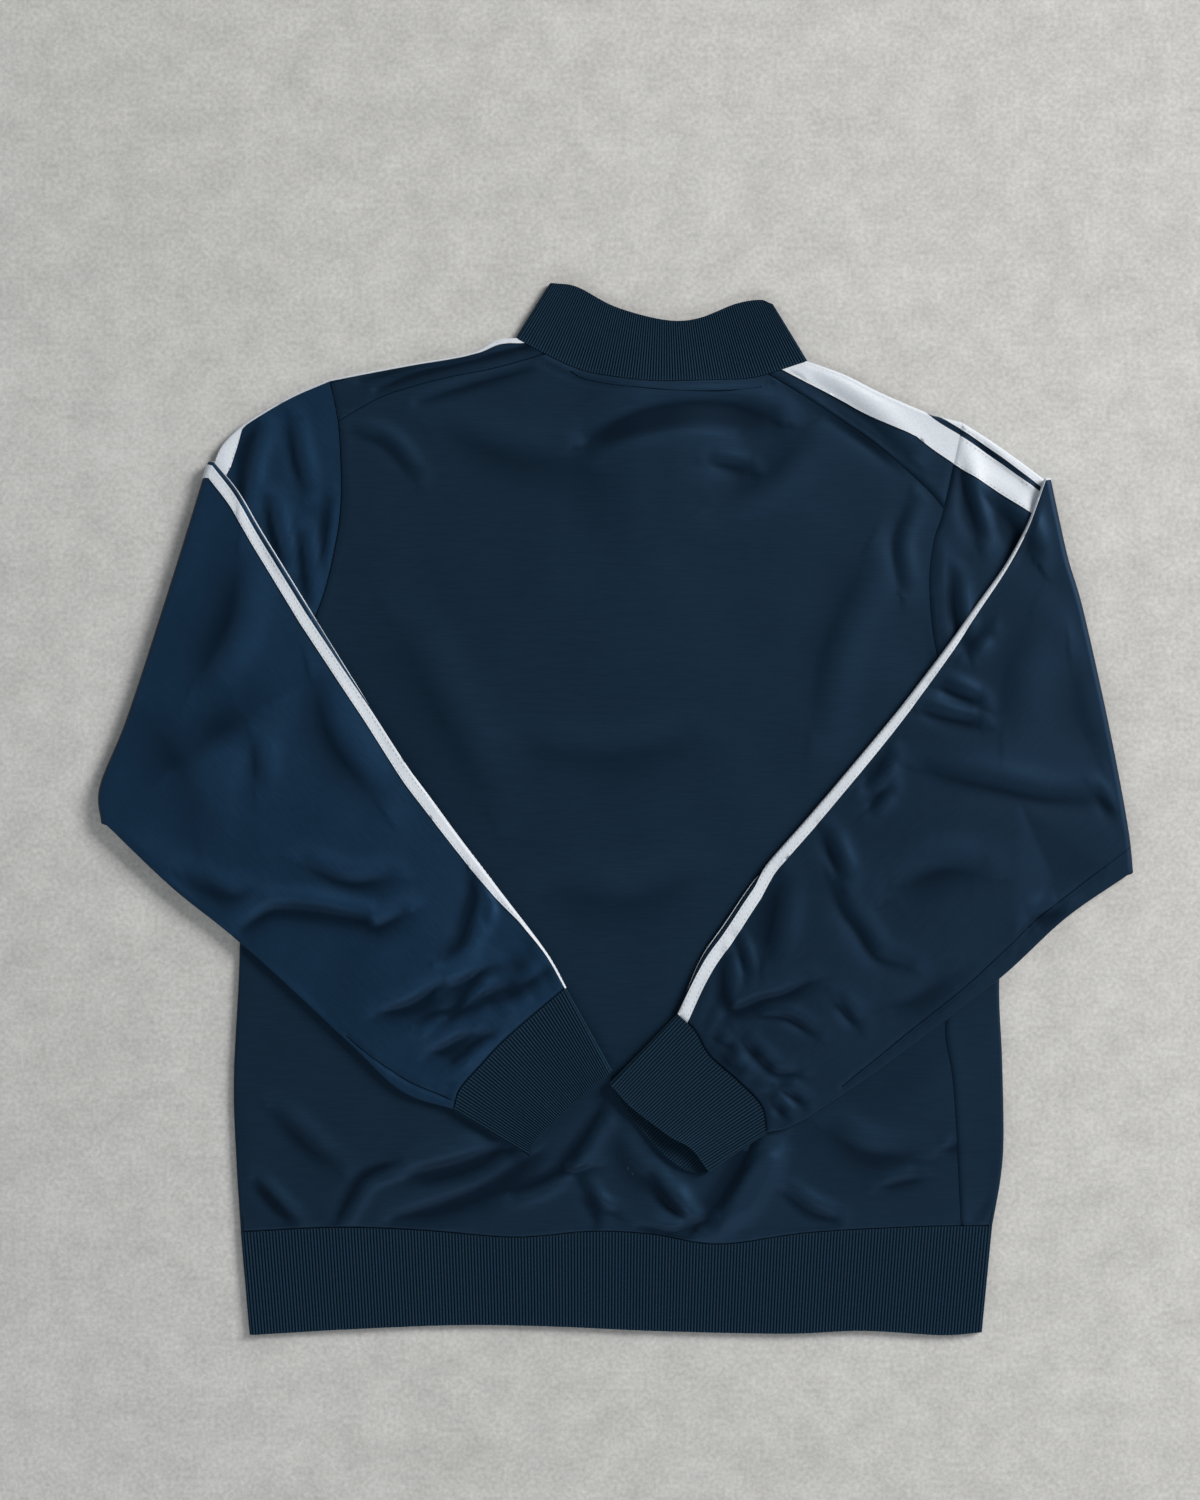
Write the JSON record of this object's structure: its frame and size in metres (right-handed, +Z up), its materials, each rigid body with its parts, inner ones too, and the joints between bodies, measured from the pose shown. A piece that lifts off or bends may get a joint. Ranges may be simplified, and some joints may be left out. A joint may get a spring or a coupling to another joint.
{
  "type": "track jacket",
  "caption": "Navy track jacket laid face down with both sleeves folded over its back, rib collar, cuffs and hem, white sleeve stripes and a closed front zip.",
  "frame": {"origin": "middle of the laid jacket's outline, on the floor under it", "axes": "+Z up from the floor, +Y from the hem towards the collar, +X to the right of the picture (the wearer's right)"},
  "size_m": [0.7196, 0.7346, 0.0149],
  "materials": {
    "navy_jersey": "satin polyester tricot",
    "navy_rib": "matt rib knit",
    "white_tape": "satin tricot stripe",
    "zip_tape": "woven zip tape with moulded teeth",
    "zip_metal": "navy lacquered metal"
  },
  "bodies": {
    "jacket": {"back": "navy_jersey", "front_left": "navy_jersey", "front_right": "navy_jersey", "yoke_left": "navy_jersey", "yoke_right": "navy_jersey", "sleeve_left": "navy_jersey", "sleeve_right": "navy_jersey", "collar": "navy_rib", "hem_band": "navy_rib", "cuff_left": "navy_rib", "cuff_right": "navy_rib", "stripe_wide_left": "white_tape", "stripe_wide_yoke_left": "white_tape", "stripe_narrow_left": "white_tape", "stripe_narrow_yoke_left": "white_tape", "stripe_wide_right": "white_tape", "stripe_wide_yoke_right": "white_tape", "stripe_narrow_right": "white_tape", "stripe_narrow_yoke_right": "white_tape", "zip_side_left": "zip_tape", "zip_side_right": "zip_tape", "zip_slider": "zip_metal"},
    "zip_pull": {"zip_pull": "zip_metal"}
  },
  "joints": [
    {"name": "pull_hinge", "type": "hinge", "parent": "jacket", "child": "zip_pull", "pos_m": [0.02673, 0.2557, 0.0016], "axis": [0.9988, -0.049, 0], "range_deg": [0, 170]}
  ]
}
